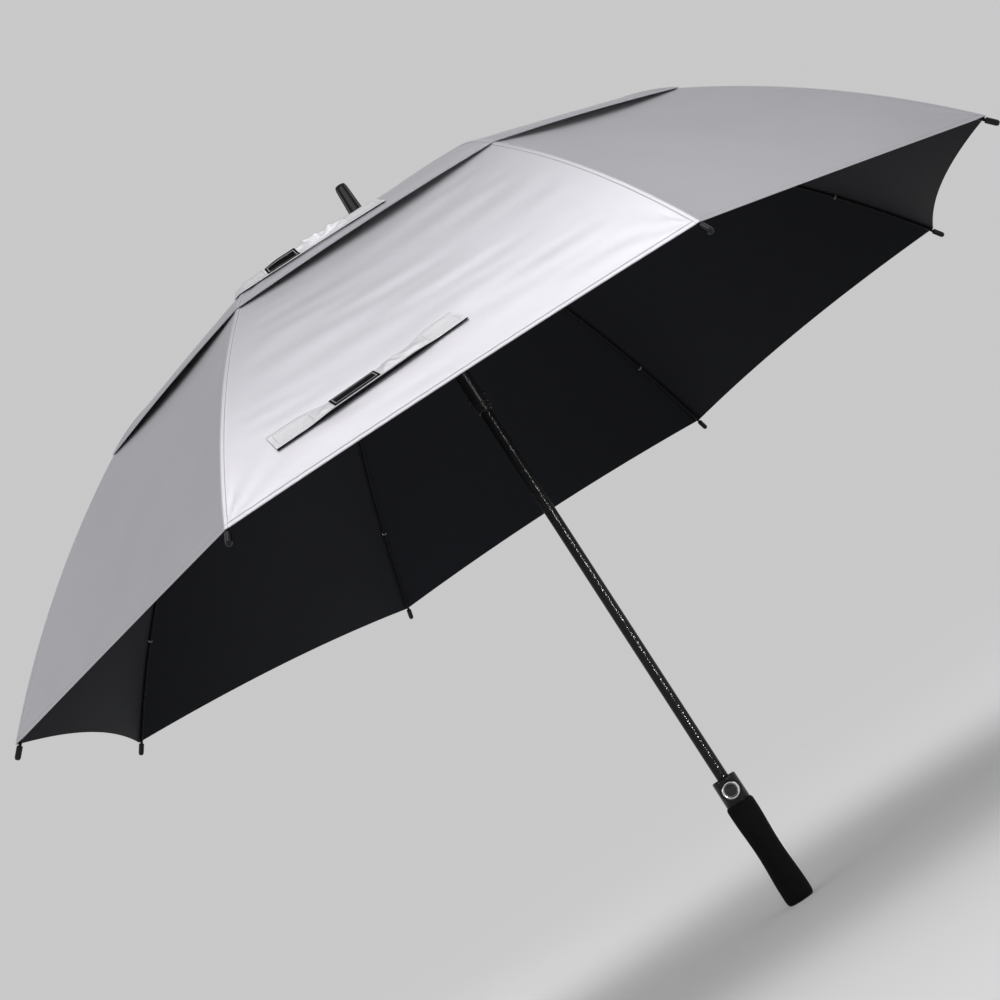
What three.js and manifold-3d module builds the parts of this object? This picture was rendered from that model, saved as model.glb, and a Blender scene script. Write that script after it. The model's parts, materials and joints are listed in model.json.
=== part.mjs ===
// Automatic stick golf umbrella with a double, vented canopy, open and standing on its butt.
// Millimetres. +Z runs up the shaft to the ferrule, and the origin is the centre of the handle's flat butt.
// Eight ribs swing on the crown hub. A stretcher joins each rib to the runner, which slides on the shaft.
// The stretcher is as long as the rib is between the crown and the stretcher joint, and both pivot circles
// have one radius, so every triangle of crown, joint and runner keeps two equal sides.

import * as THREE from "three";
import { mergeVertices } from "three/addons/utils/BufferGeometryUtils.js";
import Module from "manifold-3d";

const wasm = await Module();
wasm.setup();

// ---- Driving dimensions ----

const RIB_COUNT = 8;
const FIRST_RIB_DEG = 247.5; // rib 1 is left of the front panel, which faces -Y
const GAP = 0.3; // free air between neighbouring pieces

// The rib line, where the canopy's outer face runs over a rib, is a row of arcs that each start with the
// slope below level at which the last one ends. The ribs are stiff as far as the stretcher joint, bend most
// just beyond it, and then bend evenly to the tip.
const CROWN_SLOPE_DEG = 13.1;
const RIB_BENDS = [
  { length: 330, endSlopeDeg: 16.5 },
  { length: 70, endSlopeDeg: 33.8 },
  { length: 347, endSlopeDeg: 50.5 },
];
const CROWN_RADIUS = 12; // start of the rib line, crown pivots and runner pivots to the shaft axis
const CROWN_HEIGHT = 934.1; // start of the rib line above the butt
const ROW_DISTANCES = [110, 220, 330, 347, 365, 382, 400, 470, 540, 610, 680]; // where long pieces bend

const TIP_RADIUS = 650; // shaft axis to a canopy corner
const VENT_RADIUS = 400; // shaft axis to a corner of the upper canopy
const LOWER_TOP_RADIUS = 326; // where the lower canopy begins, under the upper one
const CANOPY_INNER_RADIUS = 8.2;
const FABRIC = 0.6;
const UPPER_LIFT = 1.4; // upper canopy above the lower one along the ribs
const CROWN_LIFT = 0.5; // canopy raised over the hub
const CROWN_LIFT_REACH = 30;
const SAG_ONSET = 2; // the higher, the nearer to the hem a panel begins to hang in
const HEM_CURVE = 6; // the higher, the nearer to the hem its hollow cut begins
const VENT_CURVE = 4; // the higher, the nearer to the hem the vent begins to lift

const RIB_BELOW_FABRIC = 4.2; // rod centre line under the fabric's outer face
const JOINT_DISTANCE = 330; // along the rib line, crown to stretcher joint
const INNER_ROD = 1.8;
const OUTER_ROD = 2.0;
const STRETCHER_ROD = 1.6;
const PIN = 0.8;
const EYE = 2.0; // round end that turns on a pin
const EYE_LENGTH = 9.5;
const EYE_HALF = 1.2; // half its thickness
const EYE_HOLE = 1.25;
const EAR = 2.1; // round end of a rib rod at the stretcher joint
const EAR_HOLE = 1.2;
const EAR_LENGTH = 8;
const FORK_IN = 1.3;
const FORK_OUT = 2.3;
const CHEEK_IN = 2.6;
const CHEEK_OUT = 3.6;
const CAP_LENGTH = 16;
const CAP_RADIUS = 3.3;
const CAP_BORE = 2.5;
const STRAP_WIDTH = 26;
const STRAP_THICKNESS = 1.2;
const STRAP_LOW_ENDS = [{ distance: 678, turnDeg: -17.7 }, { distance: 663, turnDeg: 3 }];
const STRAP_TOP_ENDS = [{ distance: 362, turnDeg: -25 }, { distance: 374, turnDeg: 4.4 }];
const STRAP_LOW_STAND = 0.6; // underside above the canopy
const STRAP_TOP_STAND = 0.8;

const SHAFT = 7;
const SHAFT_BORE = 5.8;
const SLIDE = SHAFT + 0.35; // bore of everything that goes round the shaft
const SHAFT_BOTTOM = 12;
const SHAFT_TOP = 944;
const WASHER_BOTTOM = 937.2;
const WASHER_TOP = 938.5;
const FERRULE_BASE = 938.8;
const FERRULE_TOP = 981;
const GRIP_TOP = 127.7;
const GRIP_RADIUS = 16.1;
const GRIP_WAVE = 0.9;
const GRIP_BOTTOM_RADIUS = 14.4;
const COLLAR_BOTTOM = 128;
const COLLAR_TOP = 160;
const COLLAR_RADIUS = 15;
const COLLAR_FACE = -15.4; // the flat round the button, in y
const BOSS_RADIUS = 12.8;
const BUTTON = 10.3;
const BUTTON_CLEARANCE = 0.4;
const BUTTON_HEIGHT = 144;
const BUTTON_BACK = -12;
const WELL_FLOOR = -8.1;
const HEAD_RADIUS = 15.5; // crown hub and runner head
const SLOT_START = 9.3; // shaft axis to the floor of a slot in a head
const SLOT_HALF_WIDTH = 1.5;
const SLOT_ROOM = 2.4; // beyond the pivots, at a slot's closed end
const RUNNER_BOTTOM = 659;
const SLEEVE_RADIUS = 8.9;
const DRIVE_PIN_HEIGHT = 700;
const DRIVE_PIN = 1.2;
const DRIVE_SLOT_HALF_WIDTH = 1.6;
const RUNNER_TRAVEL = 487.9; // open to folded
const SLOT_SPARE = 4; // free slot beyond the drive pin, at each end

// ---- Canopy outline ----

const rad = THREE.MathUtils.degToRad;
const Z_AXIS = new THREE.Vector3(0, 0, 1);
const HALF_PANEL = Math.PI / RIB_COUNT;
const LAST_BEND = RIB_BENDS.length - 1;

// A point of the rib line at a distance along it, offset outwards along its normal, in the rib's plane.
function ribLine(distance, offset = 0) {
  const point = { r: CROWN_RADIUS, z: CROWN_HEIGHT, slope: rad(CROWN_SLOPE_DEG) };
  let start = 0;
  let from = point.slope;
  RIB_BENDS.forEach((bend, n) => {
    const to = rad(bend.endSlopeDeg);
    const radius = bend.length / (to - from);
    const nearest = n === 0 ? -Infinity : 0;
    const farthest = n === LAST_BEND ? Infinity : bend.length;
    const turn = THREE.MathUtils.clamp(distance - start, nearest, farthest) / radius;
    point.r += radius * (Math.sin(from + turn) - Math.sin(from));
    point.z += radius * (Math.cos(from + turn) - Math.cos(from));
    point.slope += turn;
    start += bend.length;
    from = to;
  });
  point.r += offset * Math.sin(point.slope);
  point.z += offset * Math.cos(point.slope);
  return point;
}

// The distance along the rib line at which it is this far from the shaft axis, found by halving.
function distanceAt(radius, offset = 0) {
  let near = -2 * CROWN_RADIUS;
  let far = 2 * TIP_RADIUS;
  for (let i = 0; i < 50; i += 1) {
    const middle = (near + far) / 2;
    if (ribLine(middle, offset).r < radius) near = middle;
    else far = middle;
  }
  return near;
}

const TIP = distanceAt(TIP_RADIUS);
const VENT = distanceAt(VENT_RADIUS);
const LOWER = { hem: TIP, offset: 0, hollow: 15, sag: 10, sagSpan: 0.65, lift: 0 };
const UPPER = { hem: VENT, offset: UPPER_LIFT, hollow: 6, sag: 0.5, sagSpan: 0.6, lift: 1.5 };

// The canopy's outer face. side runs from -1 to 1 across a panel, between its two ribs, and the result is
// in the panel's own frame, with x along its middle line. Fabric pulled tight between curved ribs hangs
// inwards (sag), and its hem is cut hollow (hollow). lift opens the vent at an upper panel's hem.
function panelPoint(distance, side, layer) {
  const across = 1 - side * side;
  const down = Math.max(distance / layer.hem, 0);
  const p = ribLine(distance - layer.hollow * across * down ** HEM_CURVE, layer.offset);
  const crown = CROWN_LIFT * Math.exp(-(((p.r - CROWN_RADIUS) / CROWN_LIFT_REACH) ** 2));
  const hang = layer.sag * Math.sin(Math.PI * down ** SAG_ONSET * layer.sagSpan);
  const sag = across * (hang - layer.lift * down ** VENT_CURVE);
  return new THREE.Vector3(
    p.r * Math.cos(HALF_PANEL) - sag * Math.sin(p.slope),
    side * p.r * Math.sin(HALF_PANEL),
    p.z + crown - sag * Math.cos(p.slope),
  );
}

// The way out of the canopy at a distance and a turn about +Z.
function outward(distance, turn) {
  const { slope } = ribLine(distance);
  const level = Math.sin(slope);
  return new THREE.Vector3(level * Math.cos(turn), level * Math.sin(turn), Math.cos(slope));
}

// The same face by distance and by turn about the shaft from the front panel's middle line.
function canopyPoint(distance, turn, layer, stand) {
  const panel = Math.round(turn / (2 * HALF_PANEL));
  const local = turn - panel * 2 * HALF_PANEL;
  const side = Math.tan(local) / Math.tan(HALF_PANEL);
  const p = panelPoint(distance, side, layer).addScaledVector(outward(distance, local), stand);
  return p.applyAxisAngle(Z_AXIS, panel * 2 * HALF_PANEL - Math.PI / 2);
}

// ---- Linkage in a rib's plane ----

const PIVOT_DISTANCE = distanceAt(CROWN_RADIUS, -RIB_BELOW_FABRIC);
const CROWN_PIVOT = ribLine(PIVOT_DISTANCE, -RIB_BELOW_FABRIC);
const JOINT = ribLine(JOINT_DISTANCE, -RIB_BELOW_FABRIC);
const RUNNER_PIVOT = { r: CROWN_RADIUS, z: 2 * JOINT.z - CROWN_PIVOT.z };
const STRETCHER_LENGTH = Math.hypot(JOINT.r - RUNNER_PIVOT.r, JOINT.z - RUNNER_PIVOT.z);

// ---- Solids ----

function solid(geometry) {
  const bare = geometry.index ? geometry.toNonIndexed() : geometry.clone();
  bare.deleteAttribute("normal");
  bare.deleteAttribute("uv");
  const merged = mergeVertices(bare, 1e-4);
  const corner = merged.index.array;
  const place = merged.attributes.position;
  const at = [0, 1, 2].map(() => new THREE.Vector3());
  let volume = 0;
  for (let i = 0; i < corner.length; i += 3) {
    at.forEach((v, n) => v.fromBufferAttribute(place, corner[i + n]));
    volume += at[0].dot(at[1].cross(at[2]));
  }
  const triVerts = new Uint32Array(corner);
  if (volume < 0) {
    for (let i = 0; i < triVerts.length; i += 3) {
      [triVerts[i + 1], triVerts[i + 2]] = [triVerts[i + 2], triVerts[i + 1]];
    }
  }
  return new wasm.Manifold(new wasm.Mesh({ numProp: 3, vertProperties: place.array, triVerts }));
}

function geometryOf(manifold) {
  const mesh = manifold.getMesh();
  const geometry = new THREE.BufferGeometry();
  geometry.setAttribute("position", new THREE.BufferAttribute(mesh.vertProperties, 3));
  geometry.setIndex(new THREE.BufferAttribute(mesh.triVerts, 1));
  return geometry;
}

const join = (...pieces) => pieces.reduce((sum, piece) => sum.add(piece));
const cut = (body, ...tools) => tools.reduce((rest, tool) => rest.subtract(tool), body);

// A turned piece about +Z from [radius, height] pairs. A closed outline that stays off the axis is a ring.
function turned(outline, sides = 24, ring = false) {
  const points = outline.map(([r, z]) => new THREE.Vector2(r, z));
  if (ring) points.push(points[0].clone());
  return solid(new THREE.LatheGeometry(points, sides).rotateX(Math.PI / 2));
}

function box(low, high) {
  const size = high.map((h, i) => h - low[i]);
  const middle = high.map((h, i) => (h + low[i]) / 2);
  return solid(new THREE.BoxGeometry(...size).translate(...middle));
}

// A round bar along Y, from y0 to y1.
function barY(radius, y0, y1, x, z, sides = 8) {
  return solid(new THREE.CylinderGeometry(radius, radius, y1 - y0, sides).translate(x, (y0 + y1) / 2, z));
}

// A plate in a rib's plane. u runs from the origin at the slope below level, and v is square to it. A plate
// from 0 has a round end about the origin.
function plate(origin, slope, y0, y1, from, to, half, hole = 0) {
  const shape = new THREE.Shape();
  if (from > 0) {
    shape.moveTo(from, half);
    shape.lineTo(from, -half);
  } else {
    shape.absarc(0, 0, half, Math.PI / 2, (3 * Math.PI) / 2, false);
  }
  shape.lineTo(to, -half);
  shape.lineTo(to, half);
  if (hole) {
    const round = new THREE.Path();
    round.absarc(0, 0, hole, 0, 2 * Math.PI, true);
    shape.holes.push(round);
  }
  const options = { depth: y1 - y0, bevelEnabled: false, curveSegments: 4 };
  const geometry = new THREE.ExtrudeGeometry(shape, options);
  geometry.rotateX(Math.PI / 2).translate(0, y1, 0);
  geometry.rotateY(slope).translate(origin.r, 0, origin.z);
  return solid(geometry);
}

function circle(radius, sides) {
  const points = [];
  for (let i = 0; i < sides; i += 1) {
    const turn = (2 * Math.PI * i) / sides;
    points.push(new THREE.Vector2(radius * Math.cos(turn), radius * Math.sin(turn)));
  }
  return new THREE.Shape(points);
}

// The ends of a piece of the rib line and the places between them where it bends.
function rowsBetween(from, to) {
  const apart = 9;
  return [from, ...ROW_DISTANCES.filter((row) => row > from + apart && row < to - apart), to];
}

// A rod of six sides along the rib line, under the fabric.
function ribRod(radius, from, to) {
  const sides = 6;
  const rings = rowsBetween(from, to);
  const positions = [];
  const triangles = [];
  rings.forEach((distance) => {
    for (let k = 0; k < sides; k += 1) {
      const turn = (2 * Math.PI * k) / sides;
      const p = ribLine(distance, -RIB_BELOW_FABRIC + radius * Math.cos(turn));
      positions.push(p.r, radius * Math.sin(turn), p.z);
    }
  });
  for (let i = 0; i < rings.length - 1; i += 1) {
    for (let k = 0; k < sides; k += 1) {
      const here = i * sides + k;
      const next = i * sides + ((k + 1) % sides);
      triangles.push(here, here + sides, next, next, here + sides, next + sides);
    }
  }
  const last = (rings.length - 1) * sides;
  for (let k = 1; k < sides - 1; k += 1) triangles.push(0, k, k + 1, last, last + k + 1, last + k);
  const geometry = new THREE.BufferGeometry();
  geometry.setAttribute("position", new THREE.BufferAttribute(new Float32Array(positions), 3));
  geometry.setIndex(triangles);
  return solid(geometry);
}

// A thin sheet, its two faces sampled on a grid: face(i, j, stand) with stand along the outward normal.
function slab(rows, columns, face, top, bottom) {
  const positions = [];
  const triangles = [];
  const index = (layer, i, j) => (layer * (rows + 1) + i) * (columns + 1) + j;
  const quad = (a, b, c, d) => triangles.push(a, b, c, a, c, d);
  [top, bottom].forEach((stand) => {
    for (let i = 0; i <= rows; i += 1) {
      for (let j = 0; j <= columns; j += 1) positions.push(...face(i, j, stand).toArray());
    }
  });
  for (let i = 0; i < rows; i += 1) {
    for (let j = 0; j < columns; j += 1) {
      quad(index(0, i, j), index(0, i + 1, j), index(0, i + 1, j + 1), index(0, i, j + 1));
      quad(index(1, i, j), index(1, i, j + 1), index(1, i + 1, j + 1), index(1, i + 1, j));
    }
    quad(index(0, i, 0), index(1, i, 0), index(1, i + 1, 0), index(0, i + 1, 0));
    quad(index(0, i, columns), index(0, i + 1, columns), index(1, i + 1, columns), index(1, i, columns));
  }
  for (let j = 0; j < columns; j += 1) {
    quad(index(0, 0, j), index(0, 0, j + 1), index(1, 0, j + 1), index(1, 0, j));
    quad(index(0, rows, j), index(1, rows, j), index(1, rows, j + 1), index(0, rows, j + 1));
  }
  const geometry = new THREE.BufferGeometry();
  geometry.setAttribute("position", new THREE.BufferAttribute(new Float32Array(positions), 3));
  geometry.setIndex(triangles);
  return solid(geometry);
}

// ---- Fixed parts on the shaft ----

function shaftTube() {
  const tube = turned([[SHAFT_BORE, SHAFT_BOTTOM], [SHAFT, SHAFT_BOTTOM], [SHAFT, SHAFT_TOP],
    [SHAFT_BORE, SHAFT_TOP]], 16, true);
  const low = DRIVE_PIN_HEIGHT - RUNNER_TRAVEL - SLOT_SPARE;
  const high = DRIVE_PIN_HEIGHT + SLOT_SPARE;
  return cut(tube, box([-DRIVE_SLOT_HALF_WIDTH, 1, low], [DRIVE_SLOT_HALF_WIDTH, SHAFT + 2, high]));
}

function ferrule() {
  const socket = SHAFT_TOP + 1;
  return turned([[SLIDE, FERRULE_BASE], [9.1, FERRULE_BASE], [8.9, FERRULE_BASE + 4], [7.0, FERRULE_TOP - 2],
    [5.8, FERRULE_TOP], [0, FERRULE_TOP], [0, socket], [SLIDE, socket], [SLIDE, FERRULE_BASE]], 16);
}

function canopyWasher() {
  const outline = [[SLIDE, WASHER_BOTTOM], [11, WASHER_BOTTOM], [10.6, WASHER_TOP], [SLIDE, WASHER_TOP]];
  return turned(outline, 16, true);
}

// Eight slots open outwards and to one end, each crossed by one straight side of the hinge wire.
function slottedHead(body, pivotHeight, slotLow, slotHigh) {
  const slots = [];
  for (let i = 0; i < RIB_COUNT; i += 1) {
    const turn = new THREE.Matrix4().makeRotationZ(rad(FIRST_RIB_DEG) + i * 2 * HALF_PANEL);
    const slot = box([SLOT_START, -SLOT_HALF_WIDTH, slotLow], [2 * HEAD_RADIUS, SLOT_HALF_WIDTH, slotHigh]);
    slots.push(slot.transform(turn.toArray()));
  }
  const wire = new THREE.TorusGeometry(CROWN_RADIUS / Math.cos(HALF_PANEL), PIN, 6, RIB_COUNT);
  wire.rotateZ(rad(FIRST_RIB_DEG) + HALF_PANEL).translate(0, 0, pivotHeight);
  return join(cut(body, ...slots), solid(wire));
}

function crownHub() {
  const z = CROWN_PIVOT.z;
  const body = turned([[SLIDE, z - 10], [10, z - 10], [HEAD_RADIUS, z - 6], [HEAD_RADIUS, z + 3.6],
    [SLIDE, z + 3.6]], 16, true);
  return slottedHead(body, z, z - 12, z + SLOT_ROOM);
}

function runner() {
  const z = RUNNER_PIVOT.z;
  const neck = 10.4;
  const body = turned([[SLIDE, RUNNER_BOTTOM], [SLEEVE_RADIUS - 0.3, RUNNER_BOTTOM],
    [SLEEVE_RADIUS, RUNNER_BOTTOM + 3], [SLEEVE_RADIUS, z - 28], [neck, z - 24], [neck, z - 12],
    [HEAD_RADIUS, z - 6], [HEAD_RADIUS, z + 4], [SLIDE, z + 4]], 16, true);
  const head = slottedHead(body, z, z - SLOT_ROOM, z + 6);
  const pin = barY(DRIVE_PIN, 2, SLIDE + 0.7, 0, DRIVE_PIN_HEIGHT, 6);
  const inside = SHAFT_BORE - 0.6;
  const low = DRIVE_PIN_HEIGHT - 3;
  const high = DRIVE_PIN_HEIGHT + 3;
  const plunger = turned([[0, low], [inside, low], [inside, high], [0, high]], 12);
  return join(head, pin, plunger);
}

// A helical spring of square wire along +Z.
function coil(radius, wire, bottom, top, turns, stepsPerTurn) {
  class Helix extends THREE.Curve {
    getPoint(t, target = new THREE.Vector3()) {
      const turn = 2 * Math.PI * turns * t;
      return target.set(radius * Math.cos(turn), radius * Math.sin(turn), bottom + t * (top - bottom));
    }
  }
  const options = { steps: turns * stepsPerTurn, extrudePath: new Helix(), curveSegments: 1 };
  return new THREE.ExtrudeGeometry(circle(wire, 4), options);
}

const driveSpring = () => solid(coil(4.2, 0.7, SHAFT_BOTTOM + 150, DRIVE_PIN_HEIGHT - 4, 8, 8));

// ---- Handle ----

function grip() {
  const outline = [[0, 0], [GRIP_BOTTOM_RADIUS, 0], [GRIP_RADIUS + 0.1, 1.8]];
  const steps = 4;
  const lowest = 14;
  const highest = 118;
  for (let i = 0; i <= steps; i += 1) {
    const wave = GRIP_WAVE * Math.cos((2 * Math.PI * i) / steps);
    outline.push([GRIP_RADIUS + wave, lowest + ((highest - lowest) * i) / steps]);
  }
  outline.push([15.6, GRIP_TOP], [SLIDE, GRIP_TOP], [SLIDE, SHAFT_BOTTOM - GAP], [0, SHAFT_BOTTOM - GAP]);
  return turned(outline, 20);
}

function handleCollar() {
  const barrel = turned([[SLIDE, COLLAR_BOTTOM], [COLLAR_RADIUS, COLLAR_BOTTOM],
    [COLLAR_RADIUS - 0.5, COLLAR_TOP - 1.5], [COLLAR_RADIUS - 2, COLLAR_TOP],
    [SLIDE, COLLAR_TOP]], 24, true);
  const boss = barY(BOSS_RADIUS, COLLAR_FACE, WELL_FLOOR - 0.4, 0, BUTTON_HEIGHT, 24);
  const well = barY(BUTTON + BUTTON_CLEARANCE, 2 * COLLAR_FACE, WELL_FLOOR, 0, BUTTON_HEIGHT, 24);
  return cut(join(barrel, boss), well);
}

// A dished push button, its axis along -Y.
function releaseButton() {
  const outline = [[0, 0], [BUTTON, 0], [BUTTON, 3.6], [9.4, 4.4], [8.2, 4.4], [5.2, 2.7], [0, 2.0]];
  const geometry = new THREE.LatheGeometry(outline.map(([r, y]) => new THREE.Vector2(r, y)), 16);
  geometry.rotateX(Math.PI).translate(0, BUTTON_BACK, BUTTON_HEIGHT);
  return solid(geometry);
}

function buttonSpring() {
  const wire = 0.35;
  const length = WELL_FLOOR - BUTTON_BACK - 2 * (GAP + wire);
  const geometry = coil(3, wire, 0, length, 2, 8);
  geometry.rotateX(Math.PI / 2).translate(0, WELL_FLOOR - GAP - wire, BUTTON_HEIGHT);
  return solid(geometry);
}

// ---- One rib's moving parts, drawn in the XZ plane and turned into place ----

function ribInner() {
  const eye = plate(CROWN_PIVOT, CROWN_PIVOT.slope, -EYE_HALF, EYE_HALF, 0, EYE_LENGTH, EYE, EYE_HOLE);
  const rod = ribRod(INNER_ROD, PIVOT_DISTANCE + EYE_LENGTH - 1, JOINT_DISTANCE - 5);
  const ear = plate(JOINT, JOINT.slope + Math.PI, -1.0, 1.0, 0, EAR_LENGTH, EAR, EAR_HOLE);
  return join(rod, eye, ear);
}

function ribOuter() {
  const rod = ribRod(OUTER_ROD, JOINT_DISTANCE + 6.5, TIP + 12);
  const near = plate(JOINT, JOINT.slope, -FORK_OUT, -FORK_IN, 0, EAR_LENGTH, EAR, EAR_HOLE);
  const far = plate(JOINT, JOINT.slope, FORK_IN, FORK_OUT, 0, EAR_LENGTH, EAR, EAR_HOLE);
  const web = plate(JOINT, JOINT.slope, -FORK_OUT, FORK_OUT, 5, 10, EAR);
  return join(rod, near, far, web);
}

function stretcher() {
  const slope = Math.PI - Math.atan2(JOINT.z - RUNNER_PIVOT.z, JOINT.r - RUNNER_PIVOT.r);
  const rodStart = 20;
  const rodEnd = STRETCHER_LENGTH - EYE_LENGTH + 1;
  const cheeks = [[-CHEEK_OUT, -CHEEK_IN], [CHEEK_IN, CHEEK_OUT]]
    .map(([y0, y1]) => plate(JOINT, slope, y0, y1, 0, rodStart, STRETCHER_ROD));
  const web = plate(JOINT, slope, -CHEEK_OUT, CHEEK_OUT, rodStart - 2.5, rodStart + 1, STRETCHER_ROD);
  const eye = plate(RUNNER_PIVOT, slope + Math.PI, -EYE_HALF, EYE_HALF, 0, EYE_LENGTH, 1.9, EYE_HOLE);
  const rod = new THREE.CylinderGeometry(STRETCHER_ROD, STRETCHER_ROD, rodEnd - rodStart, 6);
  rod.rotateZ(Math.PI / 2).translate((rodStart + rodEnd) / 2, 0, 0);
  rod.rotateY(slope).translate(JOINT.r, 0, JOINT.z);
  const pin = barY(PIN, -CHEEK_OUT + 0.3, CHEEK_OUT - 0.3, JOINT.r, JOINT.z, 8);
  return join(solid(rod), ...cheeks, web, eye, pin);
}

// The cap on a rib's end starts where the canopy corner stops.
function tipCap() {
  const start = 0.8;
  const bored = 13;
  const outline = [[CAP_BORE, start], [CAP_RADIUS, start], [CAP_RADIUS, CAP_LENGTH - 2],
    [CAP_RADIUS / 2, CAP_LENGTH], [0, CAP_LENGTH], [0, bored], [CAP_BORE, bored], [CAP_BORE, start]];
  const end = ribLine(TIP, -RIB_BELOW_FABRIC);
  const points = outline.map(([r, z]) => new THREE.Vector2(r, z));
  const geometry = new THREE.LatheGeometry(points, 8);
  geometry.rotateZ(-Math.PI / 2).rotateY(end.slope).translate(end.r, 0, end.z);
  return solid(geometry);
}

// A rib's share of one canopy layer: half of the panel on each side of it.
function ribSector(layer, from, half) {
  const rows = rowsBetween(from, layer.hem);
  const face = (i, j, stand) => {
    const left = j <= half;
    const side = left ? j / half : (j - 2 * half) / half;
    const p = panelPoint(rows[i], side, layer);
    if (j === 0) p.y = GAP / 2;
    if (j === 2 * half) p.y = -GAP / 2;
    p.addScaledVector(outward(rows[i], Math.atan2(p.y, p.x)), stand);
    return p.applyAxisAngle(Z_AXIS, left ? -HALF_PANEL : HALF_PANEL);
  };
  return slab(rows.length - 1, 2 * half, face, 0, -FABRIC);
}

const canopyTop = () => ribSector(UPPER, distanceAt(CANOPY_INNER_RADIUS, UPPER_LIFT), 3);
const canopyLower = () => ribSector(LOWER, distanceAt(LOWER_TOP_RADIUS), 3);

// A closing strap lies on the canopy, from one distance and turn about the shaft to another.
function strap(layer, from, to, stand, steps) {
  const face = (i, j, rise) => {
    const t = i / steps;
    const distance = THREE.MathUtils.lerp(from.distance, to.distance, t) + (j - 0.5) * STRAP_WIDTH;
    return canopyPoint(distance, rad(THREE.MathUtils.lerp(from.turnDeg, to.turnDeg, t)), layer, rise);
  };
  return slab(steps, 1, face, stand + STRAP_THICKNESS, stand);
}

const strapLow = () => strap(LOWER, ...STRAP_LOW_ENDS, STRAP_LOW_STAND, 8);
const strapTop = () => strap(UPPER, ...STRAP_TOP_ENDS, STRAP_TOP_STAND, 12);

// ---- Assembly ----

const metal = (color, roughness) => new THREE.MeshStandardMaterial({ color, roughness, metalness: 0.9 });
const plastic = (color, roughness) => new THREE.MeshStandardMaterial({ color, roughness, metalness: 0 });
const SILVER_CLOTH = plastic(0xc9c8d2, 0.55);
const GLOSS_BLACK = plastic(0x0c0c0e, 0.18);
const SATIN_BLACK = plastic(0x111114, 0.4);

const umbrella = new THREE.Group();

function add(name, manifold, material, turn = 0, parent = umbrella) {
  const mesh = new THREE.Mesh(geometryOf(manifold), material.clone());
  mesh.name = name;
  mesh.rotation.z = turn;
  parent.add(mesh);
}

add("shaft_tube", shaftTube(), SATIN_BLACK);
add("ferrule", ferrule(), GLOSS_BLACK);
add("canopy_washer", canopyWasher(), GLOSS_BLACK);
add("crown_hub", crownHub(), SATIN_BLACK);
add("handle_collar", handleCollar(), GLOSS_BLACK);
add("grip", grip(), plastic(0x141414, 0.9));
add("release_button", releaseButton(), metal(0xd8d8dc, 0.12));
add("button_spring", buttonSpring(), metal(0xb0b0b0, 0.3));
add("drive_spring", driveSpring(), metal(0xb0b0b0, 0.3));
add("runner", runner(), SATIN_BLACK);
add("strap_low", strapLow(), SILVER_CLOTH);
add("strap_top", strapTop(), SILVER_CLOTH);

const RIB_PARTS = [
  ["rib_inner", ribInner(), SATIN_BLACK],
  ["rib_outer", ribOuter(), SATIN_BLACK],
  ["stretcher", stretcher(), SATIN_BLACK],
  ["tip_cap", tipCap(), GLOSS_BLACK],
  ["canopy_top", canopyTop(), SILVER_CLOTH],
  ["canopy_lower", canopyLower(), SILVER_CLOTH],
];

for (let i = 0; i < RIB_COUNT; i += 1) {
  const turn = rad(FIRST_RIB_DEG) + i * 2 * HALF_PANEL;
  RIB_PARTS.forEach(([name, manifold, material]) => add(`${name}_${i + 1}`, manifold, material, turn));
}

export default umbrella;
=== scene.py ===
import json
import math
from functools import partialmethod

import bmesh
import bpy
import numpy as np
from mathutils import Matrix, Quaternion, Vector


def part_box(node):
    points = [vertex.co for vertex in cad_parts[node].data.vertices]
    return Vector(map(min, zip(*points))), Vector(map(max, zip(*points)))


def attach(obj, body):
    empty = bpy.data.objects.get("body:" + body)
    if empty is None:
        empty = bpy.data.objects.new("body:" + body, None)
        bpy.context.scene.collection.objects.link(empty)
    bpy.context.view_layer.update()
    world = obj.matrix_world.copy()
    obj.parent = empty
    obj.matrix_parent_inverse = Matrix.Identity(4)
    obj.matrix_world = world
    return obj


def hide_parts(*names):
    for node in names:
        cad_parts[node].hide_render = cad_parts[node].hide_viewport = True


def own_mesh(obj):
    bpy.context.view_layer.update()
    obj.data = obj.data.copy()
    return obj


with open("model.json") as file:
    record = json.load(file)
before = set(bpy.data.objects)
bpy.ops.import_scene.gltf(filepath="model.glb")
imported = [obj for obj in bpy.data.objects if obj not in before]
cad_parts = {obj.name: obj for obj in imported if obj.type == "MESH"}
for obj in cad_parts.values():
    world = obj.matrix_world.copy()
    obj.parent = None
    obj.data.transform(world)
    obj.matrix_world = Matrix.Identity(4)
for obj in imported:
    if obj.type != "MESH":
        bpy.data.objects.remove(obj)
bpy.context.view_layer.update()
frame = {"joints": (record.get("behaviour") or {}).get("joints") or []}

# An automatic golf umbrella, open: a silver double canopy on eight ribs over a black shaft and handle.
# Metres. +Z runs up the shaft, the front panel of the canopy faces -Y, and ribs are counted from 1.

# ---- Camera ----

CAMERA_PLACE = Vector((0.0029, -2.4444, 0.2184))
CAMERA_AIM = Vector((-0.0416, 0.0, 0.5629))
CAMERA_ROLL = math.radians(-32.79)
LENS_MM = 77.1
SENSOR_MM = 36
FARTHEST = 2000

scene = bpy.context.scene
camera = bpy.data.objects.new("camera", bpy.data.cameras.new("camera"))
camera.data.lens = LENS_MM
camera.data.sensor_width = SENSOR_MM
camera.data.clip_end = FARTHEST
camera.location = CAMERA_PLACE
camera.rotation_mode = "QUATERNION"
level = (CAMERA_AIM - CAMERA_PLACE).to_track_quat("-Z", "Y")
camera.rotation_quaternion = level @ Quaternion((0, 0, 1), CAMERA_ROLL)
scene.collection.objects.link(camera)
scene.camera = camera

# ---- Sizes of the design, as in the CAD ----

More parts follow.
